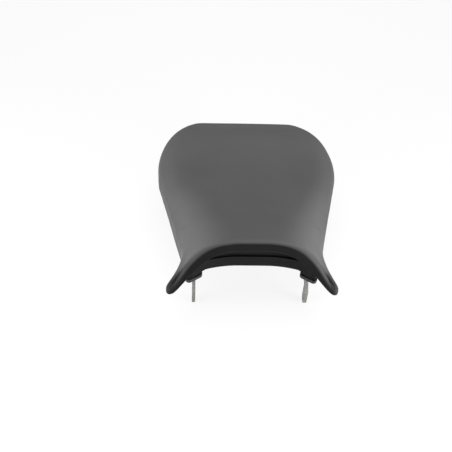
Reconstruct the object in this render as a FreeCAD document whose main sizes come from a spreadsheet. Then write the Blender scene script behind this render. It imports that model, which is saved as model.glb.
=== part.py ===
import FreeCAD, Part
import math
import os
import Sketcher
from FreeCAD import Vector

# Rider seat of a sport motorcycle: a one-piece cover over a moulded foam cushion on a plastic
# pan, with two bolted steel brackets at the front and rubber pads underneath. Millimetres.
# X to the seat's left-right, the front of the seat faces -Y, Z up, the seat stands on Z = 0.

SIZES = [
    ("half_length", 176, "middle of the seat to its rear edge, and to its front tips"),
    ("hip_half", 147, "half width at the widest place"),
    ("hip_back", 68, "widest place, behind the middle"),
    ("hip_radius", 122, "plan radius at the widest place"),
    ("corner_radius", 30, "plan radius of the rear corners"),
    ("waist_half", 106, "half width at the narrowest place"),
    ("waist_behind", 50, "narrowest place, behind the front tips"),
    ("flare_radius", 42, "plan radius of the flare into the front wings"),
    ("tip_radius", 8, "plan radius of the wing tips"),
    ("front_behind", 35, "front edge, behind the front tips"),
    ("front_half", 20, "half width of the straight part of the front edge"),
    ("wing_angle", 32.6, "turn of the wings' straight part from the front edge, degrees"),
    ("nose_height", 140, "top of the cushion at the front"),
    ("dip_height", 99, "top of the cushion at its lowest place"),
    ("dip_back", 72, "lowest place of the top, behind the middle"),
    ("tail_height", 106, "top of the cushion at the rear, before it rolls over"),
    ("tail_roll_length", 50, "length over which the rear rolls down"),
    ("tail_roll_drop", 10, "how far the rear rolls down"),
    ("crown", 2, "height of the crown between the creases"),
    ("crease_front", 62, "half width of the flat top at the front"),
    ("crease_rear", 136, "half width of the flat top at the rear"),
    ("crease_lead", 3, "where the flat top starts to widen, behind the front edge"),
    ("crease_end", 72, "where the flat top is at its full width"),
    ("crease_soft", 6.5, "softness of the crease"),
    ("side_slope", 0.65, "fall of the side facets"),
    ("side_curl", 0.005, "growth of that fall away from the crease"),
    ("arch_height", 121, "underside at the front centre"),
    ("arch_tail_height", 60, "underside at the rear centre"),
    ("arch_slope", 1.25, "fall of the underside to the wings"),
    ("arch_soft", 3, "softness of the underside's bends"),
    ("hem_front", 56, "lower edge at the front tips"),
    ("hem_rear", 52, "lower edge at the rear"),
    ("cover_wall", 1.2, "cover material"),
    ("layer_gap", 0.4, "clearance between cover, foam and pan"),
    ("top_round", 6, "roll of the cover at its upper edge"),
    ("hem_round", 2.5, "roll of the cover at its lower edge"),
    ("hem_width", 9, "width of the hem folded under the pan"),
    ("pan_wall", 3, "wall of the pan"),
    ("apron_setback", 12, "front apron behind the cover's front"),
    ("apron_wall", 3, "wall of the front apron"),
    ("apron_half", 70, "half width of the front apron"),
    ("apron_bottom", 75, "lower edge of the front apron"),
    ("apron_wing", 90, "half width of the apron with its sloping ends"),
    ("apron_wing_bottom", 63.5, "lower edge of the apron at those ends"),
    ("bead_level", 96, "bead along the apron"),
    ("bead_height", 3, "height of that bead"),
    ("bead_reach", 2.5, "how far that bead stands out"),
    ("rib_wall", 2.5, "wall of the ribs under the pan"),
    ("rib_depth", 8, "depth of the ribs under the pan"),
    ("rib_pitch_x", 34, "spacing of the ribs along the seat"),
    ("rib_pitch_y", 55, "spacing of the ribs across the seat"),
    ("rib_lead", 4, "first rib across the seat, behind the bracket flange"),
    ("rib_margin", 6, "ends of the ribs inside the hem"),
    ("vent_radius", 4, "vent holes in the pan"),
    ("plate_wall", 5, "steel plate of the brackets"),
    ("plate_level", 76, "seat of the bracket flange under the pan"),
    ("plate_setback", 15, "front end of the bracket flange, behind the front edge"),
    ("plate_length", 36, "length of the bracket flange"),
    ("plate_inner", 61, "inner edge of the bracket flange"),
    ("leg_outer", 89.5, "outer face of the bracket leg"),
    ("leg_shoulder", 50, "height where the leg starts to narrow in front"),
    ("leg_back_shoulder", 46, "height where the leg starts to narrow behind"),
    ("leg_neck", 32, "height where the leg has its full narrowness"),
    ("tab_setback", 3, "mounting tabs, behind the front edge"),
    ("tab_radius", 8.5, "round end of the mounting tab"),
    ("tab_hole_radius", 3.3, "bolt hole in the mounting tab"),
    ("bend_radius", 6, "outer bend of the bracket"),
    ("boss_margin", 2, "bracket boss beyond the bracket flange"),
    ("bolt_x", 74, "bracket bolts from the middle"),
    ("bolt_end", 9.5, "bracket bolts from the ends of the flange"),
    ("bolt_radius", 3, "shank of the bracket bolts"),
    ("bolt_length", 16, "shank of the bracket bolts below the head"),
    ("bolt_head", 4.5, "height of the hexagon"),
    ("bolt_flats", 10, "across flats of the hexagon"),
    ("washer_radius", 7, "flange under the hexagon"),
    ("washer_height", 1.5, "height of that flange"),
    ("bolt_play", 0.1, "radial clearance of the bolt in its insert"),
    ("plate_play", 0.3, "radial clearance of the bolt in the bracket"),
    ("insert_radius", 4.6, "outside of the threaded inserts"),
    ("insert_length", 13, "length of the threaded inserts"),
    ("insert_play", 0.05, "radial clearance of an insert in its boss"),
    ("pad_setback", 10, "front pads behind the cover's front"),
    ("pad_width", 11, "width of the front pads"),
    ("pad_inner", 80, "inner round end of the front pads"),
    ("pad_outer", 94.5, "outer round end of the front pads"),
    ("pad_level", 62, "seat of the front pads under the pan"),
    ("pad_height", 8, "height of the front pads"),
    ("pad_rounding", 2.5, "rounding of the rubber edges"),
    ("pad_boss_margin", 1.5, "front pads beyond their boss"),
    ("stem_radius", 2.5, "press-in stems of the rubber pieces"),
    ("stem_length", 6, "length of those stems"),
    ("stem_play", 0.1, "radial clearance of the stems"),
    ("rail_x", 110, "side bumpers from the middle"),
    ("rail_y", 4, "side bumpers along the seat"),
    ("rail_level", 47, "seat of the side bumpers under the pan"),
    ("rail_height", 10, "height of the side bumpers"),
    ("rail_radius", 10, "radius of the side bumpers"),
    ("foot_x", 74, "rear feet from the middle"),
    ("foot_ahead", 54, "rear feet, ahead of the rear edge"),
    ("foot_height", 14, "height of the rear feet"),
    ("foot_radius", 11, "radius of the rear feet"),
    ("post_margin", 1, "rubber pieces beyond their posts"),
    ("post_draft", 3, "growth of the posts towards the pan"),
    ("gusset_wall", 3, "gussets around the rear posts"),
    ("gusset_reach", 20, "reach of those gussets"),
    ("hook_half", 26, "half width of the rear hook"),
    ("hook_ahead", 46, "front of the hook's web, ahead of the rear edge"),
    ("hook_wall", 5, "wall of the hook"),
    ("hook_level", 34, "underside of the hook's toe"),
    ("hook_reach", 26, "reach of the hook's toe to the rear"),
]

DERIVED = [
    ("waist_ahead", "=half_length - waist_behind"),
    ("front_ahead", "=half_length - front_behind"),
    ("front_y", "=-front_ahead"),
    ("crease_start", "=front_y + crease_lead"),
    ("tail_roll_start", "=half_length - tail_roll_length"),
    ("plate_front", "=front_y + plate_setback"),
    ("plate_rear", "=plate_front + plate_length"),
    ("rib_first_y", "=plate_rear + rib_lead"),
    ("tab_y", "=front_y + tab_setback"),
    ("foot_y", "=half_length - foot_ahead"),
    ("hook_y", "=half_length - hook_ahead"),
    ("flare_x", "=waist_half + flare_radius"),
    ("hip_x", "=hip_half - hip_radius"),
    ("corner_y", "=half_length - corner_radius"),
    ("corner_x", "=hip_x + sqrt((hip_radius - corner_radius)^2 - (corner_y - hip_back)^2)"),
    ("tip_ahead", "=half_length - tip_radius"),
    ("tip_x", "=flare_x - sqrt((flare_radius + tip_radius)^2 - (tip_ahead - waist_ahead)^2)"),
    ("wing_sin", "=sin(wing_angle)"),
    ("wing_cos", "=cos(wing_angle)"),
    ("wing_rise", "=(tip_x - front_half) * wing_sin - (tip_ahead - front_ahead) * wing_cos"),
    ("bay_radius", "=(wing_rise - tip_radius) / (1 - wing_cos)"),
    ("bay_ahead", "=front_ahead + bay_radius"),
    ("core_gap", "=cover_wall + layer_gap"),
    ("leg_inner", "=leg_outer - plate_wall"),
    ("bolt_y_front", "=plate_front + bolt_end"),
    ("bolt_y_rear", "=plate_rear - bolt_end"),
    ("pad_depth", "=pad_setback + pad_width / 2 - tip_radius"),
    ("pad_line_x", "=tip_x + pad_depth * wing_sin"),
    ("pad_line_y", "=pad_depth * wing_cos - tip_ahead"),
    ("pad_inner_y", "=pad_line_y + (pad_line_x - pad_inner) * wing_sin / wing_cos"),
    ("pad_outer_y", "=pad_line_y + (pad_line_x - pad_outer) * wing_sin / wing_cos"),
]

doc = FreeCAD.newDocument("rider_seat")
sheet = doc.addObject("Spreadsheet::Sheet", "sizes")
for row, (alias, value, note) in enumerate(SIZES, start=1):
    sheet.set("A%d" % row, note)
    sheet.set("B%d" % row, str(value))
    sheet.setAlias("B%d" % row, alias)
for row, (alias, formula) in enumerate(DERIVED, start=len(SIZES) + 2):
    sheet.set("A%d" % row, alias)
    sheet.set("B%d" % row, formula)
    sheet.setAlias("B%d" % row, alias)
doc.recompute()


def size(alias):
    return float(sheet.get(alias))


def bind(obj, **expressions):
    for prop, expression in expressions.items():
        obj.setExpression(prop.replace("__", "."), expression)
    return obj


def at(obj, x="0", y="0", z="0"):
    for axis, expression in (("x", x), ("y", y), ("z", z)):
        obj.setExpression("Placement.Base." + axis, expression)
    return obj


def add(kind, name, **links):
    obj = doc.addObject(kind, name)
    for prop, value in links.items():
        setattr(obj, prop, value)
    return obj


def fuse(name, *shapes):
    return add("Part::MultiFuse", name, Shapes=list(shapes))


def common(name, *shapes):
    return add("Part::MultiCommon", name, Shapes=list(shapes))


def cut(name, base, tool):
    return add("Part::Cut", name, Base=base, Tool=tool)


def mirrored(name, source):
    return add("Part::Mirroring", name, Source=source, Normal=Vector(1, 0, 0))


def pair(name, source):
    return fuse(name, source, mirrored(name + "_left", source))


# The plan outline: a chain of tangent arcs, drawn where the sizes put it and then constrained.
def draw_plan():
    sketch = doc.addObject("Sketcher::SketchObject", "plan")
    bay = Vector(size("front_half"), -size("bay_ahead"))
    tip = Vector(size("tip_x"), -size("tip_ahead"))
    flare = Vector(size("flare_x"), -size("waist_ahead"))
    hip = Vector(size("hip_x"), size("hip_back"))
    corner = Vector(size("corner_x"), size("corner_y"))

    def bearing(start, end):
        return math.atan2(end.y - start.y, end.x - start.x)

    span = flare - hip
    lean = bearing(hip, flare) + math.acos((size("hip_radius") + size("flare_radius")) / span.Length)
    normal = Vector(math.cos(lean), math.sin(lean))
    side = (flare - normal * size("flare_radius"), hip + normal * size("hip_radius"))
    turn = math.atan2(size("wing_sin"), size("wing_cos"))
    ahead = Vector(-math.sin(turn), -math.cos(turn))
    wing = (bay - ahead * size("bay_radius"), tip + ahead * size("tip_radius"))
    arcs = [
        ("bay", bay, "bay_radius", math.pi / 2 - turn, math.pi / 2),
        ("tip", tip, "tip_radius", -math.pi / 2 - turn, bearing(tip, flare)),
        ("flare", flare, "flare_radius", math.pi + lean, math.pi + bearing(tip, flare)),
        ("hip", hip, "hip_radius", lean, bearing(hip, corner)),
        ("corner", corner, "corner_radius", bearing(hip, corner), math.pi / 2),
    ]

    def arc(centre, radius, start, end):
        return Part.ArcOfCircle(Part.Circle(centre, Vector(0, 0, 1), radius), start, end)

    ids = {}
    for name, centre, radius, start, end in arcs:
        ids[name] = sketch.addGeometry(arc(centre, size(radius), start, end))
        other = Vector(-centre.x, centre.y)
        ids[name + "_left"] = sketch.addGeometry(arc(other, size(radius), math.pi - end, math.pi - start))
    for name, line in (("side", side), ("wing", wing)):
        ids[name] = sketch.addGeometry(Part.LineSegment(*line))
        other = [Vector(-point.x, point.y) for point in reversed(line)]
        ids[name + "_left"] = sketch.addGeometry(Part.LineSegment(*other))
    front = Vector(size("front_half"), -size("front_ahead"))
    ids["front"] = sketch.addGeometry(Part.LineSegment(Vector(-front.x, front.y), front))
    rear = Vector(corner.x, size("half_length"))
    ids["rear"] = sketch.addGeometry(Part.LineSegment(rear, Vector(-rear.x, rear.y)))

    start, end, centre = 1, 2, 3
    joints = [
        ("front", end, "bay", end), ("bay", start, "wing", start), ("wing", end, "tip", start),
        ("tip", end, "flare", end), ("flare", start, "side", start),
        ("side", end, "hip", start), ("hip", end, "corner", start), ("corner", end, "rear", start),
        ("rear", end, "corner_left", start), ("corner_left", end, "hip_left", start),
        ("hip_left", end, "side_left", start), ("side_left", end, "flare_left", end),
        ("flare_left", start, "tip_left", start), ("tip_left", end, "wing_left", start),
        ("wing_left", end, "bay_left", end), ("bay_left", start, "front", start),
    ]
    for first, first_end, second, second_end in joints:
        sketch.addConstraint(
            Sketcher.Constraint("Tangent", ids[first], first_end, ids[second], second_end))
    sketch.addConstraint(Sketcher.Constraint("Symmetric", ids["front"], start, ids["front"], end, -2))
    sketch.addConstraint(Sketcher.Constraint("Horizontal", ids["rear"]))
    for name in ("bay", "tip", "flare", "hip", "corner"):
        sketch.addConstraint(Sketcher.Constraint("Equal", ids[name], ids[name + "_left"]))
    for name in ("flare", "hip"):
        sketch.addConstraint(
            Sketcher.Constraint("Symmetric", ids[name], centre, ids[name + "_left"], centre, -2))

    def drive(kind, alias, *place):
        index = sketch.addConstraint(Sketcher.Constraint(kind, *place, size(alias)))
        sketch.renameConstraint(index, kind.lower() + "_" + alias)
        sketch.setExpression("Constraints." + kind.lower() + "_" + alias, "sizes." + alias)

    for name in ("bay", "tip", "flare", "hip", "corner"):
        drive("Radius", name + "_radius", ids[name])
    drive("DistanceX", "hip_x", -1, 1, ids["hip"], centre)
    drive("DistanceY", "hip_back", -1, 1, ids["hip"], centre)
    drive("DistanceX", "flare_x", -1, 1, ids["flare"], centre)
    drive("DistanceY", "waist_ahead", ids["flare"], centre, -1, 1)
    drive("DistanceY", "tip_ahead", ids["tip"], centre, -1, 1)
    drive("DistanceY", "half_length", -1, 1, ids["rear"], start)
    drive("DistanceX", "front_half", -1, 1, ids["front"], end)
    drive("DistanceY", "front_ahead", ids["front"], end, -1, 1)
    return sketch


# Heights of the cushion's top and of its underside over the plan.
def ease(t):
    t = min(max(t, 0.0), 1.0)
    return t * t * (3 - 2 * t)


def hinge(d, soft):
    if d > 30 * soft:
        return d
    return soft * math.log1p(math.exp(d / soft))


def top_height(x, y):
    fore = ease((size("dip_back") - y) / (size("dip_back") - size("front_y")))
    aft = ease((y - size("dip_back")) / (size("half_length") - size("dip_back")))
    spine = size("dip_height") + (size("nose_height") - size("dip_height")) * fore
    spine += (size("tail_height") - size("dip_height")) * aft
    widening = ease((y - size("crease_start")) / (size("crease_end") - size("crease_start")))
    crease = size("crease_front") + (size("crease_rear") - size("crease_front")) * widening
    crown = size("crown") * min(1.0, abs(x) / crease) ** 2
    over = hinge(abs(x) - crease, size("crease_soft"))
    roll = max(0.0, (y - size("tail_roll_start")) / (size("half_length") - size("tail_roll_start")))
    facet = size("side_slope") * over + size("side_curl") * over ** 2
    return spine - crown - facet - size("tail_roll_drop") * roll ** 2


def bottom_height(x, y):
    fore = ease((size("dip_back") - y) / (size("dip_back") - size("front_y")))
    ceiling = size("arch_tail_height") + (size("arch_height") - size("arch_tail_height")) * fore
    along = (y + size("half_length")) / (2 * size("half_length"))
    hem = size("hem_front") + (size("hem_rear") - size("hem_front")) * along
    waist = -size("waist_ahead")
    ahead = ease((waist - y) / (waist + size("tip_ahead")))
    behind = ease((y - waist) / (size("hip_back") - waist))
    rail = size("waist_half") + (size("tip_x") - size("waist_half")) * ahead
    rail += (size("hip_half") - size("waist_half")) * behind
    wing = hem + size("arch_slope") * hinge(rail - abs(x), size("arch_soft"))
    return ceiling - hinge(ceiling - wing, size("arch_soft"))


# A smooth cubic surface whose control net follows one of those heights, moved up by a lift.
def height_face(name, height, lift):
    spans_x, spans_y, reach = 14, 11, 20
    axes = []
    for half, spans in ((size("hip_half") + reach, spans_x), (size("half_length") + reach, spans_y)):
        knots = [half * (2 * i / spans - 1) for i in range(spans + 1)]
        padded = [knots[0]] * 3 + knots + [knots[-1]] * 3
        axes.append((knots, [sum(padded[i + 1:i + 4]) / 3 for i in range(spans + 3)]))
    (knots_x, net_x), (knots_y, net_y) = axes
    poles = [[Vector(x, y, height(x, y) + lift) for y in net_y] for x in net_x]
    surface = Part.BSplineSurface()
    surface.buildFromPolesMultsKnots(
        poles, [4] + [1] * (spans_x - 1) + [4], [4] + [1] * (spans_y - 1) + [4],
        knots_x, knots_y, False, False, 3, 3)
    face = add("Part::Feature", name)
    face.Shape = surface.toShape()
    return face


def under(name, height, lift=0.0):
    face = height_face(name + "_face", height, lift)
    solid = add("Part::Extrusion", name, Base=face, DirMode="Custom", Dir=Vector(0, 0, -1), Solid=True)
    solid.LengthFwd = 4 * size("nose_height")
    return solid


def inset_plan(name, expression):
    offset = add("Part::Offset2D", name, Source=plan_face, Mode="Skin", Join="Arc")
    return bind(offset, Value="-(%s)" % expression)


def tower(name, outline):
    solid = add("Part::Extrusion", name, Base=outline, DirMode="Custom", Dir=Vector(0, 0, 1), Solid=True)
    return bind(solid, LengthFwd="2 * sizes.nose_height")


# One layer of the cushion: the plan raised between underside and top, with rolled edges.
def layer(name, outline, inset):
    skin = under(name + "_top", top_height, -inset)
    capped = common(name + "_capped", tower(name + "_tower", outline), skin)
    block = cut(name + "_block", capped, under(name + "_bottom", bottom_height, inset))
    doc.recompute()
    edges = {}
    for face in block.Shape.Faces:
        if isinstance(face.Surface, Part.BSplineSurface):
            middle = sum(face.ParameterRange[:2]) / 2, sum(face.ParameterRange[2:]) / 2
            radius = size("top_round") if face.normalAt(*middle).z > 0 else size("hem_round")
            for edge in face.OuterWire.Edges:
                edges[edge.hashCode()] = radius - inset
    rolled = add("Part::Fillet", name, Base=block)
    rolled.Edges = [
        (index, edges[edge.hashCode()], edges[edge.hashCode()])
        for index, edge in enumerate(block.Shape.Edges, start=1) if edge.hashCode() in edges]
    return rolled


plan = draw_plan()
plan_face = add("Part::Face", "plan_face", Sources=[plan])
outer = layer("outer", plan, 0)
inner = layer("inner", inset_plan("plan_inner", "sizes.cover_wall"), size("cover_wall"))
core = layer("core", inset_plan("plan_core", "sizes.core_gap"), size("core_gap"))

pan_top = size("core_gap") + size("pan_wall")
pan_upper = under("pan_upper", bottom_height, pan_top)
pan_middle = under("pan_middle", bottom_height, pan_top - size("pan_wall") / 2)
foam_lower = under("foam_lower", bottom_height, pan_top + size("layer_gap"))

mouth_tower = tower("mouth_tower", inset_plan("plan_mouth", "sizes.hem_width"))
mouth = common("cover_mouth", mouth_tower, pan_middle)
seat_cover = cut("seat_cover", cut("cover_shell", outer, inner), mouth)
foam_cushion = cut("foam_cushion", core, foam_lower)
pan_plate = common("pan_plate", core, pan_upper)


def block(name, x, y, z):
    box = add("Part::Box", name)
    for prop, (low, high) in (("Length", x), ("Width", y), ("Height", z)):
        box.setExpression(prop, "%s - (%s)" % (high, low))
    return at(box, x[0], y[0], z[0])


def cylinder(name, radius, x, y, low, high):
    solid = bind(add("Part::Cylinder", name), Radius=radius, Height="%s - (%s)" % (high, low))
    return at(solid, x, y, low)


# A polygon seen from the front, raised over the front half of the seat.
def front_view(name, corners):
    sketch = doc.addObject("Sketcher::SketchObject", name + "_profile")
    sketch.Placement = FreeCAD.Placement(Vector(0, 0, 0), FreeCAD.Rotation(Vector(1, 0, 0), 90))
    points = [Vector(*(float(sketch.evalExpression(e)) for e in corner)) for corner in corners]
    count = len(points)
    for index, point in enumerate(points):
        sketch.addGeometry(Part.LineSegment(point, points[(index + 1) % count]))
    for index in range(count):
        sketch.addConstraint(Sketcher.Constraint("Coincident", index, 2, (index + 1) % count, 1))
    for index, (point, corner) in enumerate(zip(points, corners)):
        for kind, value, expression in zip(("DistanceX", "DistanceY"), point, corner):
            number = sketch.addConstraint(Sketcher.Constraint(kind, -1, 1, index, 1, value))
            sketch.setExpression("Constraints[%d]" % number, expression)
    solid = add("Part::Extrusion", name, Base=sketch, DirMode="Custom", Dir=Vector(0, -1, 0), Solid=True)
    return bind(solid, LengthFwd="sizes.half_length")


sky = "sizes.nose_height"
apron_window = front_view("apron_window", [
    ("sizes.apron_half", "sizes.apron_bottom"), ("sizes.apron_wing", "sizes.apron_wing_bottom"),
    ("sizes.apron_wing", sky), ("-sizes.apron_wing", sky),
    ("-sizes.apron_wing", "sizes.apron_wing_bottom"), ("-sizes.apron_half", "sizes.apron_bottom")])
apron_band = block("apron_band", ("-sizes.apron_wing", "sizes.apron_wing"), ("-sizes.half_length", "0"),
                   ("sizes.bead_level", "sizes.bead_level + sizes.bead_height"))


# A wall that follows the plan outline, set back from it.
def follow(name, setback, wall):
    before = tower(name + "_before", inset_plan("plan_" + name, setback))
    behind = tower(name + "_behind", inset_plan("plan_%s_behind" % name, setback + " + " + wall))
    return cut(name, before, behind)


apron_wall = follow("apron_wall", "sizes.apron_setback", "sizes.apron_wall")
bead_wall = follow("bead_wall", "sizes.apron_setback - sizes.bead_reach",
                   "sizes.bead_reach + sizes.apron_wall / 2")
bead = common("bead", bead_wall, apron_band)
apron = common("apron", fuse("apron_walls", apron_wall, bead), apron_window)


# A round-ended slot along a wing's front edge, raised between two levels.
def wing_slot(name, half, low, high):
    sketch = doc.addObject("Sketcher::SketchObject", name + "_profile")
    radius = float(sketch.evalExpression(half))
    inner = Vector(size("pad_inner"), size("pad_inner_y"))
    outer = Vector(size("pad_outer"), size("pad_outer_y"))
    turn = math.atan2(outer.y - inner.y, outer.x - inner.x)
    rear = Vector(-math.sin(turn), math.cos(turn)) * radius

    def end_arc(centre, start):
        circle = Part.Circle(centre, Vector(0, 0, 1), radius)
        return sketch.addGeometry(Part.ArcOfCircle(circle, start, start + math.pi))

    inner_end = end_arc(inner, turn + math.pi / 2)
    outer_end = end_arc(outer, turn - math.pi / 2)
    front_line = sketch.addGeometry(Part.LineSegment(inner - rear, outer - rear))
    rear_line = sketch.addGeometry(Part.LineSegment(outer + rear, inner + rear))
    joints = (
        (inner_end, 2, front_line, 1), (front_line, 2, outer_end, 1),
        (outer_end, 2, rear_line, 1), (rear_line, 2, inner_end, 1))
    for joint in joints:
        sketch.addConstraint(Sketcher.Constraint("Tangent", *joint))
    drives = [("Radius", (inner_end,), half)]
    for arc, alias in ((inner_end, "pad_inner"), (outer_end, "pad_outer")):
        drives.append(("DistanceX", (-1, 1, arc, 3), "sizes." + alias))
        drives.append(("DistanceY", (arc, 3, -1, 1), "-sizes.%s_y" % alias))
    for kind, place, expression in drives:
        value = float(sketch.evalExpression(expression))
        number = sketch.addConstraint(Sketcher.Constraint(kind, *place, value))
        sketch.setExpression("Constraints[%d]" % number, expression)
    solid = add("Part::Extrusion", name, Base=sketch, DirMode="Custom", Dir=Vector(0, 0, 1), Solid=True)
    return at(bind(solid, LengthFwd="%s - (%s)" % (high, low)), z=low)


pad_boss = wing_slot("pad_boss", "sizes.pad_width / 2 - sizes.pad_boss_margin", "sizes.pad_level", sky)
bracket_boss = block(
    "bracket_boss", ("sizes.plate_inner - sizes.boss_margin", "sizes.leg_outer"),
    ("sizes.plate_front - sizes.boss_margin", "sizes.plate_rear + sizes.boss_margin"),
    ("sizes.plate_level", sky))


def post(name, x, y, radius, low):
    cone = add("Part::Cone", name)
    bind(cone, Radius1="%s - sizes.post_margin" % radius,
         Radius2="%s - sizes.post_margin + sizes.post_draft" % radius, Height=sky + " - " + low)
    return at(cone, x, y, low)


rail_post = post("rail_post", "sizes.rail_x", "sizes.rail_y", "sizes.rail_radius", "sizes.rail_level")
foot_post = post("foot_post", "sizes.foot_x", "sizes.foot_y", "sizes.foot_radius", "sizes.foot_height")
reach = "sizes.gusset_reach"
gussets = fuse(
    "gussets",
    block("gusset_across", ("sizes.foot_x - " + reach, "sizes.foot_x + " + reach),
          ("sizes.foot_y - sizes.gusset_wall / 2", "sizes.foot_y + sizes.gusset_wall / 2"),
          ("sizes.foot_height + sizes.foot_radius", sky)),
    block("gusset_along", ("sizes.foot_x - sizes.gusset_wall / 2", "sizes.foot_x + sizes.gusset_wall / 2"),
          ("sizes.foot_y - " + reach, "sizes.foot_y + " + reach),
          ("sizes.foot_height + sizes.foot_radius", sky)))
hook_web = block("hook_web", ("-sizes.hook_half", "sizes.hook_half"),
                 ("sizes.hook_y", "sizes.hook_y + sizes.hook_wall"), ("sizes.hook_level", sky))
hook_toe = block("hook_toe", ("-sizes.hook_half", "sizes.hook_half"),
                 ("sizes.hook_y", "sizes.hook_y + sizes.hook_reach"),
                 ("sizes.hook_level", "sizes.hook_level + sizes.hook_wall"))

half_rib = "sizes.rib_wall / 2"
ribs = []
for index in (-1, 0, 1):
    middle = "%d * sizes.rib_pitch_x" % index
    ribs.append(block("rib_along_%d" % (index + 2), (middle + " - " + half_rib, middle + " + " + half_rib),
                      ("sizes.rib_first_y", "sizes.hook_y"), ("0", sky)))
for index in range(4):
    middle = "sizes.rib_first_y + %d * sizes.rib_pitch_y" % index
    ribs.append(block("rib_across_%d" % (index + 1), ("-sizes.hip_half", "sizes.hip_half"),
                      (middle + " - " + half_rib, middle + " + " + half_rib), ("0", sky)))
rib_field = tower("rib_field", inset_plan("plan_ribs", "sizes.hem_width + sizes.rib_margin"))
rib_floor = under("rib_floor", bottom_height, size("core_gap") - size("rib_depth"))
rib_web = cut("rib_web", common("rib_walls", fuse("rib_grid", *ribs), rib_field), rib_floor)

stands = fuse("stands", pad_boss, bracket_boss, rail_post, foot_post, gussets)
stands_left = mirrored("stands_left", stands)
pan_stands = fuse("pan_stands", apron, stands, stands_left, hook_web, rib_web)
below = common("pan_below", pan_stands, pan_middle)

vents = []
vent_places = ((0.5, 0.5), (0.5, 1.5), (0.5, 2.5), (1.5, 1.5), (1.5, 2.5))
for index, (across, along) in enumerate(vent_places, start=1):
    vents.append(cylinder("vent_%d" % index, "sizes.vent_radius", "%s * sizes.rib_pitch_x" % across,
                          "sizes.rib_first_y + %s * sizes.rib_pitch_y" % along, "0", sky))
stem_hole = "sizes.stem_radius + sizes.stem_play"
holes = [
    cylinder("insert_hole_" + end, "sizes.insert_radius + sizes.insert_play",
             "sizes.bolt_x", "sizes.bolt_y_" + end,
             "sizes.plate_level", "sizes.plate_level + sizes.bolt_length")
    for end in ("front", "rear")]
stems = {
    "pad": ("(sizes.pad_inner + sizes.pad_outer) / 2",
            "(sizes.pad_inner_y + sizes.pad_outer_y) / 2",
            "sizes.pad_level"),
    "rail": ("sizes.rail_x", "sizes.rail_y", "sizes.rail_level"),
    "foot": ("sizes.foot_x", "sizes.foot_y", "sizes.foot_height"),
}
for name, (x, y, level) in stems.items():
    holes.append(cylinder(name + "_stem_hole", stem_hole, x, y, level, level + " + sizes.stem_length + 1"))
drillings = fuse("drillings", *vents, *holes)
base_pan = cut("base_pan", fuse("pan_solid", pan_plate, below, hook_toe),
               fuse("all_drillings", drillings, mirrored("drillings_left", drillings)))


# Rubber: each piece seats under its post and is held by a press-in stem.
def rubber(name, body, stem):
    x, y, level = stems[stem]
    doc.recompute()
    low = min(edge.BoundBox.ZMin for edge in body.Shape.Edges)
    soft = add("Part::Fillet", name + "_soft", Base=body)
    soft.Edges = [
        (index, size("pad_rounding"), size("pad_rounding"))
        for index, edge in enumerate(body.Shape.Edges, start=1) if edge.BoundBox.ZMax < low + 1e-6]
    peg = cylinder(name + "_stem", "sizes.stem_radius", x, y,
                   level + " - 1", level + " + sizes.stem_length")
    return fuse(name + "_right", soft, peg)


pad_body = wing_slot("pad_body", "sizes.pad_width / 2",
                     "sizes.pad_level - sizes.pad_height", "sizes.pad_level")
front_pads = pair("front_pads", rubber("front_pad", pad_body, "pad"))
rail_body = cylinder("rail_body", "sizes.rail_radius", "sizes.rail_x", "sizes.rail_y",
                     "sizes.rail_level - sizes.rail_height", "sizes.rail_level")
side_bumpers = pair("side_bumpers", rubber("side_bumper", rail_body, "rail"))
foot_body = cylinder("foot_body", "sizes.foot_radius", "sizes.foot_x", "sizes.foot_y",
                     "0", "sizes.foot_height")
rear_feet = pair("rear_feet", rubber("rear_foot", foot_body, "foot"))


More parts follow.
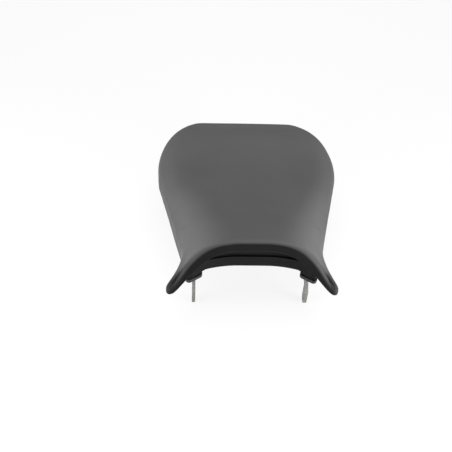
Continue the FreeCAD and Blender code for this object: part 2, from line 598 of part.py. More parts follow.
# The bracket: a bent plate whose leg narrows to a round-ended tab with a bolt hole.
def draw_leg(body):
    sketch = body.newObject("Sketcher::SketchObject", "leg_profile")
    sketch.Placement = FreeCAD.Placement(Vector(0, 0, 0), FreeCAD.Rotation(Vector(1, 1, 1), 120))
    sketch.setExpression("Placement.Base.x", "sizes.leg_inner")
    front, rear = size("tab_y") - size("tab_radius"), size("tab_y") + size("tab_radius")
    corners = [
        ("tab_y - sizes.tab_radius", "tab_radius", front, size("tab_radius")),
        ("tab_y - sizes.tab_radius", "leg_neck", front, size("leg_neck")),
        ("plate_front", "leg_shoulder", size("plate_front"), size("leg_shoulder")),
        ("plate_front", "plate_level", size("plate_front"), size("plate_level")),
        ("plate_rear", "plate_level", size("plate_rear"), size("plate_level")),
        ("plate_rear", "leg_back_shoulder", size("plate_rear"), size("leg_back_shoulder")),
        ("tab_y + sizes.tab_radius", "leg_neck", rear, size("leg_neck")),
        ("tab_y + sizes.tab_radius", "tab_radius", rear, size("tab_radius")),
    ]
    points = [Vector(y, z) for _, _, y, z in corners]
    for first, second in zip(points, points[1:]):
        sketch.addGeometry(Part.LineSegment(first, second))
    for index in range(len(points) - 2):
        sketch.addConstraint(Sketcher.Constraint("Coincident", index, 2, index + 1, 1))
    tab = Part.Circle(Vector(size("tab_y"), size("tab_radius")), Vector(0, 0, 1), size("tab_radius"))
    end = sketch.addGeometry(Part.ArcOfCircle(tab, math.pi, 2 * math.pi))
    sketch.addConstraint(Sketcher.Constraint("Coincident", end, 1, 0, 1))
    sketch.addConstraint(Sketcher.Constraint("Coincident", end, 2, len(points) - 2, 2))
    hole = sketch.addGeometry(Part.Circle(tab.Center, Vector(0, 0, 1), size("tab_hole_radius")))
    sketch.addConstraint(Sketcher.Constraint("Coincident", end, 3, hole, 3))
    for index, (y, z, along, height) in enumerate(corners):
        place = (index, 1) if index < len(points) - 1 else (index - 1, 2)
        for kind, expression, value in (("DistanceX", y, along), ("DistanceY", z, height)):
            number = sketch.addConstraint(Sketcher.Constraint(kind, -1, 1, *place, value))
            sketch.setExpression("Constraints[%d]" % number, "sizes." + expression)
    number = sketch.addConstraint(Sketcher.Constraint("DistanceY", -1, 1, end, 3, size("tab_radius")))
    sketch.setExpression("Constraints[%d]" % number, "sizes.tab_radius")
    number = sketch.addConstraint(Sketcher.Constraint("Radius", hole, size("tab_hole_radius")))
    sketch.setExpression("Constraints[%d]" % number, "sizes.tab_hole_radius")
    return sketch


bracket_body = doc.addObject("PartDesign::Body", "bracket_body")
leg = bracket_body.newObject("PartDesign::Pad", "leg")
leg.Profile = draw_leg(bracket_body)
bind(leg, Length="sizes.plate_wall")
flange = block("flange", ("sizes.plate_inner", "sizes.leg_outer"),
               ("sizes.plate_front", "sizes.plate_rear"),
               ("sizes.plate_level - sizes.plate_wall", "sizes.plate_level"))
bent = fuse("bracket_bent", bracket_body, flange)
bent.Refine = True
doc.recompute()
bend = add("Part::Fillet", "bracket_bend", Base=bent)
outer_edge, inner_edge = [], []
for number, edge in enumerate(bent.Shape.Edges, start=1):
    box = edge.BoundBox
    if box.YLength > 20 and box.XLength < 1e-6 and box.ZLength < 1e-6:
        if abs(box.XMax - size("leg_outer")) < 1e-6 and abs(box.ZMax - size("plate_level")) < 1e-6:
            outer_edge.append((number, size("bend_radius"), size("bend_radius")))
        if abs(box.XMax - size("leg_inner")) < 1e-6:
            inside = size("bend_radius") - size("plate_wall")
            inner_edge.append((number, inside, inside))
bend.Edges = outer_edge + inner_edge
plate_holes = fuse("plate_holes", *[
    cylinder("plate_hole_" + end, "sizes.bolt_radius + sizes.plate_play",
             "sizes.bolt_x", "sizes.bolt_y_" + end,
             "sizes.plate_level - 2 * sizes.plate_wall", "sizes.plate_level + sizes.plate_wall")
    for end in ("front", "rear")])
bracket_right = cut("bracket_right", bend, plate_holes)
bracket_left = mirrored("bracket_left", bracket_right)


# Bolts and threaded inserts of the brackets.
def bolt(end):
    x, y, seat = "sizes.bolt_x", "sizes.bolt_y_" + end, "sizes.plate_level - sizes.plate_wall"
    shank = cylinder("shank_" + end, "sizes.bolt_radius", x, y, seat + " - sizes.washer_height",
                     seat + " + sizes.bolt_length")
    washer = add("Part::Cone", "washer_" + end)
    bind(washer, Radius1="sizes.bolt_flats / 2", Radius2="sizes.washer_radius",
         Height="sizes.washer_height")
    at(washer, x, y, seat + " - sizes.washer_height")
    head = add("Part::Prism", "head_" + end, Polygon=6)
    bind(head, Circumradius="sizes.bolt_flats / sqrt(3)", Height="sizes.bolt_head")
    at(head, x, y, seat + " - sizes.washer_height - sizes.bolt_head")
    return fuse("bolt_" + end, shank, washer, head)


def insert(end):
    x, y = "sizes.bolt_x", "sizes.bolt_y_" + end
    high = "sizes.plate_level + sizes.insert_length"
    body = cylinder("insert_body_" + end, "sizes.insert_radius", x, y, "sizes.plate_level", high)
    bore = cylinder("insert_bore_" + end, "sizes.bolt_radius + sizes.bolt_play", x, y,
                    "sizes.plate_level", high)
    return cut("insert_" + end, body, bore)


bracket_bolts = pair("bracket_bolts", fuse("bolts_right", bolt("front"), bolt("rear")))
bracket_inserts = pair("bracket_inserts", fuse("inserts_right", insert("front"), insert("rear")))

NODES = {
    "seat_cover": seat_cover,
    "foam_cushion": foam_cushion,
    "base_pan": base_pan,
    "bracket_right": bracket_right,
    "bracket_left": bracket_left,
    "bracket_bolts": bracket_bolts,
    "bracket_inserts": bracket_inserts,
    "front_pads": front_pads,
    "side_bumpers": side_bumpers,
    "rear_feet": rear_feet,
}

doc.recompute()
for obj in doc.Objects:
    if "Invalid" in obj.State or "Error" in obj.State:
        raise RuntimeError("%s did not build: %s" % (obj.Name, obj.State))
for node, obj in NODES.items():
    if obj.Shape.isNull() or not obj.Shape.isValid():
        raise RuntimeError("%s is not a valid shape" % node)
os.makedirs("parts", exist_ok=True)
for node, obj in NODES.items():
    obj.Shape.exportStep("parts/%s.step" % node)
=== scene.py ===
import math
import random

import bmesh
import bpy
import numpy
from mathutils import Matrix, Vector, geometry, noise
from mathutils.bvhtree import BVHTree


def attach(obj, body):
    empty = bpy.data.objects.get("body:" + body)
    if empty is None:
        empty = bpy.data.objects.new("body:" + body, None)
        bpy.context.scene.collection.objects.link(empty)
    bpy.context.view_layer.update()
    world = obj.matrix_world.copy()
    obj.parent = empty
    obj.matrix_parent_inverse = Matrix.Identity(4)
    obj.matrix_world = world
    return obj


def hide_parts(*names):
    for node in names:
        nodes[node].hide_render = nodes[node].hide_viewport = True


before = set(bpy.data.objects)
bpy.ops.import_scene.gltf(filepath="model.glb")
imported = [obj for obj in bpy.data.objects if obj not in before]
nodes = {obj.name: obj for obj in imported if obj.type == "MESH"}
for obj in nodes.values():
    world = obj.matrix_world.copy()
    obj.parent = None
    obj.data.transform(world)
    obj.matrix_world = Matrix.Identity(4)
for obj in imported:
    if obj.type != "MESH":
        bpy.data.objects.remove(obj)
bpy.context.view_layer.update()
scene = bpy.context.scene
random.seed(7)

UP, DOWN = Vector((0, 0, 1)), Vector((0, 0, -1))

# Plan outline of the seat, metres, as in the CAD sizes.
HALF_LENGTH, HIP_HALF, HIP_Y, WAIST_HALF, WAIST_Y = 0.176, 0.147, 0.068, 0.106, -0.126
FRONT_Y, FRONT_HALF, BAY_RADIUS, TIP_RADIUS = -0.141, 0.020, 0.1499, 0.008
FLARE_RADIUS, HIP_RADIUS, CORNER_RADIUS = 0.042, 0.122, 0.030
FEWEST_IN_ARC, SAME_PLACE = 4, 1e-6


def tangent_centre(centre, reach, y, side):
    """The centre at a given y that lies a reach away from another centre, to one side of it."""
    return Vector((centre.x + side * math.sqrt(reach ** 2 - (y - centre.y) ** 2), y))


BAY = Vector((FRONT_HALF, FRONT_Y - BAY_RADIUS))
FLARE = Vector((WAIST_HALF + FLARE_RADIUS, WAIST_Y))
HIP = Vector((HIP_HALF - HIP_RADIUS, HIP_Y))
TIP = tangent_centre(FLARE, FLARE_RADIUS + TIP_RADIUS, TIP_RADIUS - HALF_LENGTH, -1)
CORNER = tangent_centre(HIP, HIP_RADIUS - CORNER_RADIUS, HALF_LENGTH - CORNER_RADIUS, 1)

# The cover: its rolled edge, its hem, and the mesh that is laid on its skin.
TOP_ROLL, HEM_ROLL, HEM_WIDTH, COVER_WALL = 0.006, 0.0025, 0.009, 0.0012
ROLL_MARGIN, HEM_MARGIN, EDGE_MARGIN = 0.0005, 0.0003, 0.0002
STATION_STEP = 0.0032
ROLL_RINGS, WALL_RINGS, HEM_RINGS, UNDER_RINGS = 9, 9, 5, 5
NET_STEP, NET_RISE, NET_MARGIN, NET_COLUMNS, NET_ROWS = 0.0042, 0.866, 0.55, 40, 50
MIDDLE_Z, CUSHION_Z = 0.1, 0.11
SIDE_CAST, TALL_CAST, CAST_BEYOND, CAST_NUDGE = 0.06, 0.2, 0.08, 0.008
TOP_ROUNDS, TOP_FACTOR, ALL_ROUNDS, ALL_FACTOR = 6, 0.5, 3, 0.35
DOUBLE, DEGENERATE, NET_EPSILON = 2e-5, 1e-6, 1e-7


def bearing(start, end):
    return math.atan2(end.y - start.y, end.x - start.x)


def ray_at(angle):
    return Vector((math.cos(angle), math.sin(angle)))


def half_outline(step):
    """Points and outward normals from the middle of the front, round the right side, to the rear."""
    quarter = math.pi / 2
    to_flare, to_corner = bearing(TIP, FLARE), bearing(HIP, CORNER)
    lean = bearing(HIP, FLARE) + math.acos((HIP_RADIUS + FLARE_RADIUS) / (FLARE - HIP).length)
    turn = math.asin((BAY_RADIUS + TIP_RADIUS) / (TIP - BAY).length) - bearing(BAY, TIP)
    arcs = [
        (BAY, BAY_RADIUS, quarter, quarter - turn, -1),
        (TIP, TIP_RADIUS, -quarter - turn, to_flare, 1),
        (FLARE, FLARE_RADIUS, math.pi + to_flare, math.pi + lean, -1),
        (HIP, HIP_RADIUS, lean, to_corner, 1),
        (CORNER, CORNER_RADIUS, to_corner, quarter, 1),
    ]
    pieces = round(FRONT_HALF / step)
    out = [(Vector((FRONT_HALF * i / pieces, FRONT_Y)), Vector((0, -1))) for i in range(pieces)]
    for centre, radius, start, end, sign in arcs:
        if centre is not BAY:
            last, normal = out[-1]
            first = centre + ray_at(start) * radius
            pieces = max(1, round((first - last).length / step))
            out += [(last.lerp(first, i / pieces), normal) for i in range(1, pieces)]
        count = max(FEWEST_IN_ARC, round(radius * abs(end - start) / step))
        for i in range(count + 1):
            ray = ray_at(start + (end - start) * i / count)
            point = centre + ray * radius
            if (point - out[-1][0]).length > SAME_PLACE:
                out.append((point, ray * sign))
    last = out[-1][0]
    pieces = round(last.x / step)
    rear = [Vector((last.x * (1 - i / pieces), last.y)) for i in range(1, pieces + 1)]
    return out + [(point, Vector((0, 1))) for point in rear]


def whole_outline(step):
    half = half_outline(step)
    mirror = [(Vector((-p.x, p.y)), Vector((-n.x, n.y))) for p, n in half[-2:0:-1]]
    return half + mirror


def link(name, data):
    obj = bpy.data.objects.new(name, data)
    scene.collection.objects.link(obj)
    return obj


def mesh_object(name, verts, faces):
    mesh = bpy.data.meshes.new(name)
    mesh.from_pydata(verts, [], faces)
    mesh.validate()
    return link(name, mesh)


def final_mesh(obj):
    """A new mesh of an object with its modifiers applied."""
    return bpy.data.meshes.new_from_object(obj.evaluated_get(bpy.context.evaluated_depsgraph_get()))


def skin_of(mesh):
    return BVHTree.FromPolygons([v.co for v in mesh.vertices], [p.vertices for p in mesh.polygons])


def move_all(obj, shift):
    moves = [shift(v) for v in obj.data.vertices]
    for v, move in zip(obj.data.vertices, moves):
        v.co += move


def shade_smooth(obj):
    for polygon in obj.data.polygons:
        polygon.use_smooth = True


def inside(point, ring, margin):
    """True where a plan point lies in a ring and further than the margin from its edges."""
    crossings = 0
    for first, second in zip(ring, ring[1:] + ring[:1]):
        if (first.y > point.y) != (second.y > point.y):
            if point.x < first.x + (second.x - first.x) * (point.y - first.y) / (second.y - first.y):
                crossings += 1
        near = geometry.intersect_point_line(point, first, second)
        if 0 <= near[1] <= 1 and (near[0] - point).length < margin:
            return False
    return crossings % 2 == 1


def skin_hit(skin, target, direction, away=SIDE_CAST):
    """Where a ray from outside, back along the direction to the target, meets the skin."""
    place = skin.ray_cast(target + direction * away, -direction, away + CAST_BEYOND)[0]
    return place if place is not None else skin.find_nearest(target + direction * CAST_NUDGE)[0]


def cover_column(skin, point, normal):
    """Places on the skin at one station: over the rolled edge, down the wall, under to the hem."""
    out = Vector((normal.x, normal.y, 0))
    rim = Vector((point.x, point.y, MIDDLE_Z))
    inner = rim - out * (TOP_ROLL + ROLL_MARGIN)
    high = skin_hit(skin, inner, UP, TALL_CAST)
    low = skin_hit(skin, rim - out * (HEM_ROLL + HEM_MARGIN), DOWN, TALL_CAST)
    roll = Vector((inner.x, inner.y, high.z - TOP_ROLL))
    foot = rim - out * HEM_ROLL
    foot.z = low.z + HEM_ROLL
    column = []
    for i in range(ROLL_RINGS):
        angle = math.pi / 2 * (1 - i / ROLL_RINGS)
        column.append(skin_hit(skin, roll, UP * math.sin(angle) + out * math.cos(angle)))
    for i in range(WALL_RINGS):
        height = roll.z + (foot.z - roll.z) * i / WALL_RINGS
        column.append(skin_hit(skin, Vector((roll.x, roll.y, height)), out))
    for i in range(HEM_RINGS):
        angle = -math.pi / 2 * i / HEM_RINGS
        column.append(skin_hit(skin, foot, UP * math.sin(angle) + out * math.cos(angle)))
    for i in range(UNDER_RINGS):
        depth = HEM_ROLL + (HEM_WIDTH - EDGE_MARGIN - HEM_ROLL) * i / (UNDER_RINGS - 1)
        column.append(skin_hit(skin, rim - out * depth, DOWN, TALL_CAST))
    return column


def relax_cover(mesh, top_verts):
    """Evens the net's heights, then the whole cover but for the hem's edge."""
    bm = bmesh.new()
    bm.from_mesh(mesh)
    top = [v for v in bm.verts if v.index in top_verts]
    for _ in range(TOP_ROUNDS):
        bmesh.ops.smooth_vert(bm, verts=top, factor=TOP_FACTOR, use_axis_z=True)
    bmesh.ops.remove_doubles(bm, verts=bm.verts, dist=DOUBLE)
    bmesh.ops.dissolve_degenerate(bm, edges=bm.edges, dist=DEGENERATE)
    hem_edge = {v for e in bm.edges if e.is_boundary for v in e.verts}
    free = [v for v in bm.verts if v not in hem_edge]
    axes = {"use_axis_x": True, "use_axis_y": True, "use_axis_z": True}
    for _ in range(ALL_ROUNDS):
        bmesh.ops.smooth_vert(bm, verts=free, factor=ALL_FACTOR, **axes)
    bmesh.ops.recalc_face_normals(bm, faces=bm.faces)
    bm.to_mesh(mesh)
    bm.free()
    upward = sum(p.normal.z * p.area for p in mesh.polygons if p.center.z > CUSHION_Z)
    if upward < 0:
        mesh.flip_normals()


def build_cover():
    """An even net of triangles over the top, then rings round the rolled edge, down the wall and
    under to the hem's edge, all laid on the CAD cover's outer skin."""
    skin = skin_of(nodes["seat_cover"].data)
    columns = [cover_column(skin, point, normal) for point, normal in whole_outline(STATION_STEP)]
    count, height = len(columns), len(columns[0])
    verts = [place for column in columns for place in column]
    faces = []
    for i in range(count):
        this, other = i * height, (i + 1) % count * height
        faces += [(this + k, this + k + 1, other + k + 1, other + k) for k in range(height - 1)]
    edge = [column[0].xy for column in columns]
    net = []
    for column in range(-NET_COLUMNS, NET_COLUMNS + 1):
        for row in range(-NET_ROWS, NET_ROWS + 1):
            x, y = column * NET_STEP + (row % 2) * NET_STEP / 2, row * NET_STEP * NET_RISE
            net.append(Vector((x, y)))
    net = edge + [place for place in net if inside(place, edge, NET_STEP * NET_MARGIN)]
    loop = [(i, (i + 1) % count) for i in range(count)]
    within_loop = 1
    laid = geometry.delaunay_2d_cdt(net, loop, [], within_loop, NET_EPSILON)
    placed, tiles, sources = laid[0], laid[2], laid[3]
    index = []
    for place, source in zip(placed, sources):
        if source and source[0] < count:
            index.append(source[0] * height)
        else:
            index.append(len(verts))
            verts.append(skin_hit(skin, Vector((place.x, place.y, MIDDLE_Z)), UP, TALL_CAST))
    faces += [tuple(index[corner] for corner in tile) for tile in tiles]
    obj = mesh_object("cover", verts, faces)
    relax_cover(obj.data, {corner for corner in index if corner >= count * height})
    return obj


class FrontLean:
    """Lean of the front: the cover is pulled back at the top of its front wall, more on the wings,
    and the tips are drawn down. The foam gets the same shift, the hem stays where the pan is."""

    AT = (0.0, 0.045, 0.075, 0.095, 0.130)
    PULLED_BACK = (0.0032, 0.0040, 0.0080, 0.0090, 0.0090)
    DRAWN_DOWN = (0.0, 0.0, 0.0, 0.0015, 0.0085)
    HEM_CLEAR, STEP, FACES_FRONT, CAST_FROM = 0.004, 0.002, -0.3, 0.3
    MIDDLE_END, MIDDLE_REACH, LEAST_REACH, MOST_OF_REACH = 0.075, 0.055, 0.006, 0.35

    def __init__(self):
        skin = skin_of(nodes["seat_cover"].data)
        outline = half_outline(self.STEP)
        rows = []
        for point, normal in outline:
            if normal.y < self.FACES_FRONT:
                inner = (point - normal * TOP_ROLL).to_3d()
                high = skin.ray_cast(inner + UP * self.CAST_FROM, DOWN)[0]
                low = skin.ray_cast(inner + DOWN * self.CAST_FROM, UP)[0]
                rows.append((point.x, point.y, low.z, high.z))
        rows.sort()
        self.x, self.y, self.low, self.high = (numpy.array(row) for row in zip(*rows))
        behind = [(p.x, p.y - numpy.interp(p.x, self.x, self.y))
                  for p, n in outline if n.y >= self.FACES_FRONT and p.y < FLARE.y]
        self.reach_x, self.reach = zip(*sorted([(self.MIDDLE_END, self.MIDDLE_REACH)] + behind))

    def __call__(self, place):
        out = abs(place.x)
        reach = max(self.LEAST_REACH, numpy.interp(out, self.reach_x, self.reach))
        depth = (place.y - numpy.interp(out, self.x, self.y)) / reach
        if depth > 1:
            return Vector()
        low = numpy.interp(out, self.x, self.low) + self.HEM_CLEAR
        share = (place.z - low) / (numpy.interp(out, self.x, self.high) - low)
        share = min(max(share, 0.0), 1.0)
        depth = max(depth, 0.0)
        fade = 1 - depth * depth * (3 - 2 * depth)
        back = min(numpy.interp(out, self.AT, self.PULLED_BACK), self.MOST_OF_REACH * reach)
        drop = numpy.interp(out, self.AT, self.DRAWN_DOWN)
        return Vector((0, back, -drop)) * (share * fade)


SWAY, FOLD, FOLD_SHIFT = Vector((16, 16, 5)), Vector((75, 75, 16)), Vector((0, 0, 9))
SWAY_DEPTH, WALL_FOLD_DEPTH, UNDER_FOLD_DEPTH, WALL_CUT = 0.0004, 0.00028, 0.0004, 1.2


def ripple(v):
    """Pull of the cover: a slow sway all over, and soft folds down the wall and along the hem."""
    wall = 1 - min(1.0, abs(v.normal.z) * WALL_CUT)
    under = max(0.0, -v.normal.z)
    sway = noise.noise(v.co * SWAY)
    fold = noise.noise(v.co * FOLD + FOLD_SHIFT)
    return v.normal * (SWAY_DEPTH * sway + (WALL_FOLD_DEPTH * wall + UNDER_FOLD_DEPTH * under) * fold)


cover = build_cover()
lean = FrontLean()
move_all(cover, lambda v: lean(v.co))
move_all(cover, ripple)
shade_smooth(cover)
smooth = cover.modifiers.new("smooth", "SUBSURF")
smooth.levels = smooth.render_levels = 1
shell = cover.modifiers.new("shell", "SOLIDIFY")
shell.thickness = COVER_WALL
shell.offset = -1

# The foam: the CAD solid remeshed and drawn in a little, so that it stays clear of the cover.
FOAM_VOXEL, FOAM_DRAWN_IN = 0.004, 0.0012
foam = link("foam", nodes["foam_cushion"].data.copy())
remesh = foam.modifiers.new("remesh", "REMESH")
remesh.mode = "VOXEL"
remesh.voxel_size = FOAM_VOXEL
foam_mesh = final_mesh(foam)
foam.modifiers.clear()
foam.data = foam_mesh
move_all(foam, lambda v: lean(v.co) + v.normal * -FOAM_DRAWN_IN)
shade_smooth(foam)

# Wire staples that hold the hem to the pan.
STAPLE_FIRST, STAPLE_EVERY, STAPLE_TILT, STAPLE_INSET = 4, 8, 16, (0.0052, 0.0062)
STAPLE_HALF, STAPLE_LEG, WIRE_RADIUS, HEM_FACING = 0.0042, 0.0012, 0.0004, 0.2


def staple_path(skin, point, normal):
    """Both legs and the bridge of a staple at one station, or nothing where the hem isn't found."""
    out = Vector((normal.x, normal.y, 0))
    tilt = Matrix.Rotation(math.radians(random.uniform(-STAPLE_TILT, STAPLE_TILT)), 3, "Z")
    along = tilt @ Vector((-out.y, out.x, 0))
    middle = Vector((point.x, point.y, 0)) - out * random.uniform(*STAPLE_INSET)
    path = []
    for side in (-1, 1):
        start = middle + along * STAPLE_HALF * side
        place, face_normal = skin.ray_cast(start, UP, TALL_CAST)[:2]
        if place is None or face_normal.z >= HEM_FACING:
            return []
        leg = [place - face_normal * STAPLE_LEG, place, place + face_normal * WIRE_RADIUS]
        path += leg[::-side]
    return path


def build_staples():
    dressed = final_mesh(cover)
    skin = skin_of(dressed)
    bpy.data.meshes.remove(dressed)
    curve = bpy.data.curves.new("cover_staples", "CURVE")
    curve.dimensions = "3D"
    curve.bevel_depth = WIRE_RADIUS
    curve.bevel_resolution = 2
    for point, normal in whole_outline(STATION_STEP)[STAPLE_FIRST::STAPLE_EVERY]:
        path = staple_path(skin, point, normal)
        if path:
            spline = curve.splines.new("POLY")
            spline.points.add(len(path) - 1)
            for control, place in zip(spline.points, path):
                control.co = (*place, 1)
    wire = link("wire", curve)
    mesh = final_mesh(wire)
    bpy.data.objects.remove(wire)
    return link("cover_staples", mesh)


staples = build_staples()

for piece, slot in ((cover, "cover"), (foam, "foam"), (staples, "bolt")):
    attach(piece, "root")
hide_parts("seat_cover")
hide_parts("foam_cushion")


# Materials.
def rgb(red, green, blue):
    return (red, green, blue, 1.0)


WHITE = rgb(1, 1, 1)


class NodeTree:
    """A node tree, with short calls to add to it."""

    def __init__(self, tree):
        self.tree = tree

    def put(self, socket, value):
        if isinstance(value, bpy.types.NodeSocket):
            self.tree.links.new(value, socket)
        else:
            socket.default_value = value

    def add(self, kind, inputs=(), **settings):
        node = self.tree.nodes.new(kind)
        for key, value in settings.items():
            setattr(node, key, value)
        for socket, value in dict(inputs).items():
            self.put(node.inputs[socket], value)
        return node.outputs

    def maths(self, operation, *values):
        return self.add("ShaderNodeMath", dict(enumerate(values)), operation=operation)[0]

    def remap(self, value, low, high, new_low=0.0, new_high=1.0):
        inputs = {"Value": value, "From Min": low, "From Max": high}
        inputs.update({"To Min": new_low, "To Max": new_high})
        return self.add("ShaderNodeMapRange", inputs)["Result"]

    def join(self, share, first, second):
        return self.add("ShaderNodeMixShader", {0: share, 1: first, 2: second})[0]


class Shader(NodeTree):
    """A Principled material whose textures follow the object's own coordinates."""

    LOW, HIGH = 0.3, 0.7
    ROUGH = 0.55

    def __init__(self, name):
        self.material = bpy.data.materials.new(name)
        self.material.use_nodes = True
        super().__init__(self.material.node_tree)
        self.bsdf = self.tree.nodes["Principled BSDF"]
        self.place = self.add("ShaderNodeTexCoord")["Object"]

    def set(self, **values):
        for key, value in values.items():
            self.put(self.bsdf.inputs[key.replace("_", " ")], value)

    def noise(self, scale, detail=3.0):
        inputs = {"Vector": self.place, "Scale": scale, "Detail": detail, "Roughness": self.ROUGH}
        return self.add("ShaderNodeTexNoise", inputs)["Fac"]

    def cells(self, scale):
        inputs = {"Vector": self.place, "Scale": scale}
        return self.add("ShaderNodeTexVoronoi", inputs, feature="F1")["Distance"]

    def spread(self, texture, new_low=0.0, new_high=1.0):
        """A noise texture's usual range, drawn out to a new range."""
        return self.remap(texture, self.LOW, self.HIGH, new_low, new_high)

    def mix(self, share, first, second):
        node = self.tree.nodes.new("ShaderNodeMix")
        node.data_type = "RGBA"
        self.put(node.inputs["Factor"], share)
        colours = [s for s in node.inputs if s.type == "RGBA"]
        self.put(colours[0], first)
        self.put(colours[1], second)
        return next(s for s in node.outputs if s.type == "RGBA")

    def bump(self, height, strength, distance, below=None):
        inputs = {"Height": height, "Strength": strength, "Distance": distance}
        if below is not None:
            inputs["Normal"] = below
        return self.add("ShaderNodeBump", inputs)["Normal"]


def vinyl():
    """Grey vinyl where the cover faces up, back or aside; painted shade, near black, where it faces
    the front on the lip and at the tips.
    """
    s = Shader("cover_vinyl")
    surface = s.add("ShaderNodeNewGeometry")
    facing = s.add("ShaderNodeSeparateXYZ", {0: surface["Normal"]})
    place = s.add("ShaderNodeSeparateXYZ", {0: surface["Position"]})
    # Painted shade mask: 1 where the cover faces up, back or aside, falling to 0 where it faces the
    # front and near the tips.
    level, not_ahead = s.remap(facing["Z"], 0.45, 0.85), s.remap(facing["Y"], -0.45, -0.08)
    behind_tips = s.remap(place["Y"], -0.168, -0.148, 0.15, 1.0)
    unshaded_share = s.maths("MULTIPLY", s.maths("MAXIMUM", level, not_ahead), behind_tips)
    vinyl_grey = s.mix(s.spread(s.noise(9.0, 4.0)), rgb(0.090, 0.090, 0.091), rgb(0.100, 0.100, 0.099))
    # Painted shade: near black where the mask is low, the vinyl's own grey elsewhere.
    s.set(Base_Color=s.mix(unshaded_share, rgb(0.005, 0.0052, 0.0056), vinyl_grey))
    grain = s.bump(s.cells(900.0), 0.22, 0.00025)
    s.set(Normal=s.bump(s.noise(2200.0, 2.0), 0.12, 0.00015, grain))
    s.set(Roughness=s.spread(s.noise(30.0), 0.5, 0.6), Specular_IOR_Level=0.12)
    return s.material


def foam_stuff():
    s = Shader("foam")
    pores = s.cells(420.0)
    s.set(Base_Color=s.mix(s.remap(pores, 0.1, 0.7), rgb(0.2, 0.19, 0.17), rgb(0.4, 0.385, 0.35)))
    s.set(Roughness=0.95, Normal=s.bump(pores, 0.6, 0.001))
    return s.material


def plastic():
    s = Shader("pan_plastic")
    blotch = s.noise(22.0, 4.0)
    dark, pale = rgb(0.004, 0.004, 0.0045), rgb(0.008, 0.008, 0.0085)
    s.set(Base_Color=s.mix(s.spread(blotch), dark, pale))
    s.set(Roughness=s.spread(blotch, 0.36, 0.48), Specular_IOR_Level=0.1)
    s.set(Normal=s.bump(s.noise(1500.0, 2.0), 0.12, 0.0002))
    return s.material


def coated_steel():
    s = Shader("bracket_steel")
    cloud = s.noise(60.0, 5.0)
    specks = s.remap(s.cells(700.0), 0.05, 0.22, 0.35, 0.0)
    tone = s.mix(s.spread(cloud), rgb(0.205, 0.197, 0.185), rgb(0.26, 0.252, 0.24))
    s.set(Base_Color=s.mix(specks, tone, rgb(0.14, 0.132, 0.12)))
    s.set(Metallic=0.25, Roughness=s.spread(cloud, 0.38, 0.52))
    s.set(Normal=s.bump(s.noise(900.0, 2.0), 0.15, 0.0002))
    return s.material


def plated_steel():
    s = Shader("plated_steel")
    cloud = s.noise(180.0, 4.0)
    s.set(Base_Color=s.mix(s.spread(cloud), rgb(0.48, 0.45, 0.38), rgb(0.6, 0.58, 0.52)))
    s.set(Metallic=1.0, Roughness=s.spread(cloud, 0.28, 0.42))
    s.set(Normal=s.bump(s.noise(2600.0, 2.0), 0.1, 0.0001))
    return s.material


def brass():
    s = Shader("brass")
    cloud = s.noise(200.0, 4.0)
    s.set(Base_Color=s.mix(s.spread(cloud), rgb(0.5, 0.36, 0.15), rgb(0.66, 0.5, 0.22)))
    s.set(Metallic=1.0, Roughness=s.spread(cloud, 0.25, 0.4))
    return s.material


def rubber():
    s = Shader("rubber")
    dust = s.noise(45.0, 5.0)
    clean, dusty = rgb(0.012, 0.012, 0.012), rgb(0.024, 0.024, 0.023)
    s.set(Base_Color=s.mix(s.remap(dust, 0.35, 0.75), clean, dusty))
    s.set(Roughness=s.spread(dust, 0.55, 0.72))
    s.set(Normal=s.bump(s.noise(1200.0, 3.0), 0.2, 0.0002))
    return s.material


def dress(obj, material):
    obj.data.materials.clear()
    obj.data.materials.append(material)


dress(cover, vinyl())
dress(foam, foam_stuff())
dress(nodes["base_pan"], plastic())
steel, plated, black_rubber = coated_steel(), plated_steel(), rubber()
for name in ("bracket_right", "bracket_left"):
    dress(nodes[name], steel)
dress(nodes["bracket_bolts"], plated)
dress(staples, plated)
dress(nodes["bracket_inserts"], brass())
for name in ("front_pads", "side_bumpers", "rear_feet"):
    dress(nodes[name], black_rubber)

# Floor, world, lights. The camera, metal and glass see white; other rays see a pale studio.
FLOOR_HALF, FLOOR_GLOW = 4, 0.85


def build_floor():
    half = FLOOR_HALF
    corners = [(-half, -half, 0), (half, -half, 0), (half, half, 0), (-half, half, 0)]
    obj = mesh_object("floor", corners, [(0, 1, 2, 3)])
    material = bpy.data.materials.new("floor")
    material.use_nodes = True
    n = NodeTree(material.node_tree)
    n.tree.nodes.remove(n.tree.nodes["Principled BSDF"])
    path = n.add("ShaderNodeLightPath")
    mirrored = n.maths("MAXIMUM", path["Is Glossy Ray"], path["Is Transmission Ray"])
    pale = n.add("ShaderNodeBsdfDiffuse", {"Color": rgb(0.85, 0.85, 0.85)})[0]
    dim = n.add("ShaderNodeBsdfDiffuse", {"Color": rgb(0.2, 0.2, 0.2)})[0]
    glow = n.add("ShaderNodeEmission", {"Color": WHITE, "Strength": 1.0})[0]
    seen, unseen = n.join(FLOOR_GLOW, pale, glow), n.join(mirrored, dim, pale)
    mixed = n.join(path["Is Camera Ray"], unseen, seen)
    n.put(n.tree.nodes["Material Output"].inputs["Surface"], mixed)
    dress(obj, material)


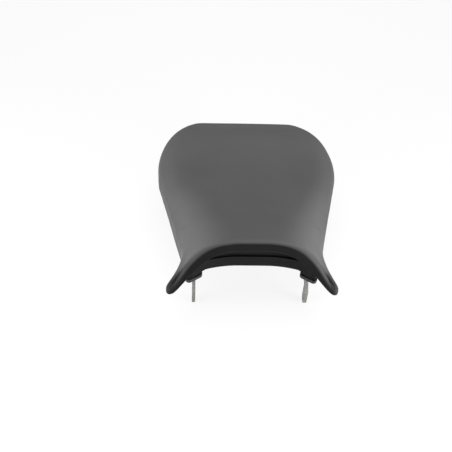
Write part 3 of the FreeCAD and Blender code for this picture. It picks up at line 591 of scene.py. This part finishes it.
def build_world():
    world = bpy.data.worlds.new("studio")
    scene.world = world
    world.use_nodes = True
    n = NodeTree(world.node_tree)
    n.tree.nodes.clear()
    path = n.add("ShaderNodeLightPath")
    mirrored = n.maths("MAXIMUM", path["Is Glossy Ray"], path["Is Transmission Ray"])
    seen = n.maths("MAXIMUM", path["Is Camera Ray"], mirrored)
    way = n.add("ShaderNodeSeparateXYZ", {0: n.add("ShaderNodeTexCoord")["Generated"]})
    up_and_back = n.maths("MULTIPLY_ADD", way["Y"], 0.6, way["Z"])
    level = n.remap(up_and_back, -0.5, 1.0, 0.04, 0.5)
    ambient = n.add("ShaderNodeBackground", {"Color": WHITE, "Strength": level})[0]
    white = n.add("ShaderNodeBackground", {"Color": WHITE, "Strength": 1.0})[0]
    n.add("ShaderNodeOutputWorld", {"Surface": n.join(seen, ambient, white)})


def area_light(name, place, target, width, height, energy):
    data = bpy.data.lights.new(name, "AREA")
    data.shape = "RECTANGLE"
    data.size, data.size_y, data.energy = width, height, energy
    obj = link(name, data)
    obj.location = place
    obj.rotation_euler = (Vector(target) - Vector(place)).to_track_quat("-Z", "Y").to_euler()
    obj.visible_camera = False


build_floor()
build_world()
area_light("left_box", (-0.70, -0.30, 0.16), (-0.1, -0.15, 0.1), 0.45, 0.18, 6.8)
area_light("right_box", (0.70, -0.42, 0.16), (0.1, -0.15, 0.1), 0.45, 0.18, 9.8)
area_light("top_box", (0, 0.4, 1.8), (0, 0, 0.08), 1.6, 1.2, 18)

# Camera, from a fit to the photograph. The focal length is in pixels of the image.
CAMERA_TURN, CAMERA_RISE, CAMERA_ROLL = (math.radians(angle) for angle in (-4.46, 48.02, 3.97))
CAMERA_TARGET, CAMERA_DISTANCE = Vector((-0.0359, -0.03551, 0.05989)), 1.26818
FOCAL, IMAGE_WIDTH, SENSOR_WIDTH, CLIP_START = 792.0, 452, 36.0, 0.05


def build_camera():
    flat = math.cos(CAMERA_RISE)
    back = Vector((math.sin(CAMERA_TURN) * flat, -math.cos(CAMERA_TURN) * flat, math.sin(CAMERA_RISE)))
    right = (-back).cross(UP).normalized()
    up = right.cross(-back)
    side = right * math.cos(CAMERA_ROLL) + up * math.sin(CAMERA_ROLL)
    top = up * math.cos(CAMERA_ROLL) - right * math.sin(CAMERA_ROLL)
    data = bpy.data.cameras.new("camera")
    data.sensor_width = SENSOR_WIDTH
    data.lens = SENSOR_WIDTH * FOCAL / IMAGE_WIDTH
    data.clip_start = CLIP_START
    obj = link("camera", data)
    place = Matrix.Translation(CAMERA_TARGET + back * CAMERA_DISTANCE)
    obj.matrix_world = place @ Matrix((side, top, back)).transposed().to_4x4()
    scene.camera = obj


build_camera()
scene.view_settings.view_transform = "Standard"
